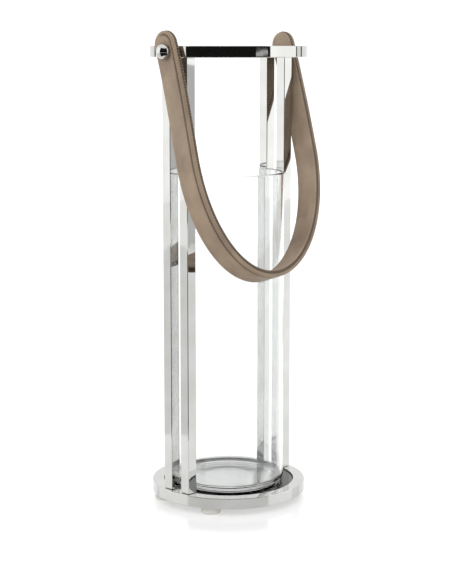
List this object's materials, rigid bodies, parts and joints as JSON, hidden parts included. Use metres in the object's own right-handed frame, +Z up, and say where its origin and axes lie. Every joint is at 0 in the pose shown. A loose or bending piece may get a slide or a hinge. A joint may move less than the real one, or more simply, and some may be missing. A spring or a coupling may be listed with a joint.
{
  "type": "candle lantern",
  "caption": "Tall round candle lantern: polished metal rings on square posts, a lift-out glass cylinder and a swinging leather loop handle.",
  "frame": {"origin": "centre of the base's underside, on the lantern's axis; the feet reach below it", "axes": "+Z up along the lantern's axis; X along the axis that the handle swings about; the handle hangs towards -Y"},
  "size_m": [0.1884, 0.165, 0.4717],
  "materials": {
    "chrome_frame": "mirror polished",
    "chrome_knob": "mirror polished",
    "black_plate": "gloss black lacquer",
    "clear_pad": "clear silicone",
    "plated_screw": "zinc plated",
    "clear_glass": "clear, hand finished",
    "leather": "taupe, fine grain",
    "leather_board": "raw filler",
    "brass_bush": "turned"
  },
  "bodies": {
    "frame": {"base_ring": "chrome_frame", "base_plate": "black_plate", "top_ring": "chrome_frame", "post_front_left": "chrome_frame", "foot_front_left": "clear_pad", "base_screw_front_left": "plated_screw", "top_screw_front_left": "plated_screw", "post_back_left": "chrome_frame", "foot_back_left": "clear_pad", "base_screw_back_left": "plated_screw", "top_screw_back_left": "plated_screw", "post_front_right": "chrome_frame", "foot_front_right": "clear_pad", "base_screw_front_right": "plated_screw", "top_screw_front_right": "plated_screw", "post_back_right": "chrome_frame", "foot_back_right": "clear_pad", "base_screw_back_right": "plated_screw", "top_screw_back_right": "plated_screw", "handle_screw_left": "chrome_knob", "handle_screw_right": "chrome_knob"},
    "handle": {"strap_outer": "leather", "strap_core": "leather_board", "strap_lining": "leather", "handle_bush_left": "brass_bush", "handle_bush_right": "brass_bush"},
    "glass": {"glass_cylinder": "clear_glass"}
  },
  "joints": [
    {"name": "handle_swing", "type": "hinge", "parent": "frame", "child": "handle", "pos_m": [0, 0, 0.4451], "axis": [-1, 0, 0], "range_deg": [0, 322]},
    {"name": "glass_lift", "type": "slide", "parent": "frame", "child": "glass", "axis": [0, 0, 1], "range_m": [0, 0.46]}
  ]
}
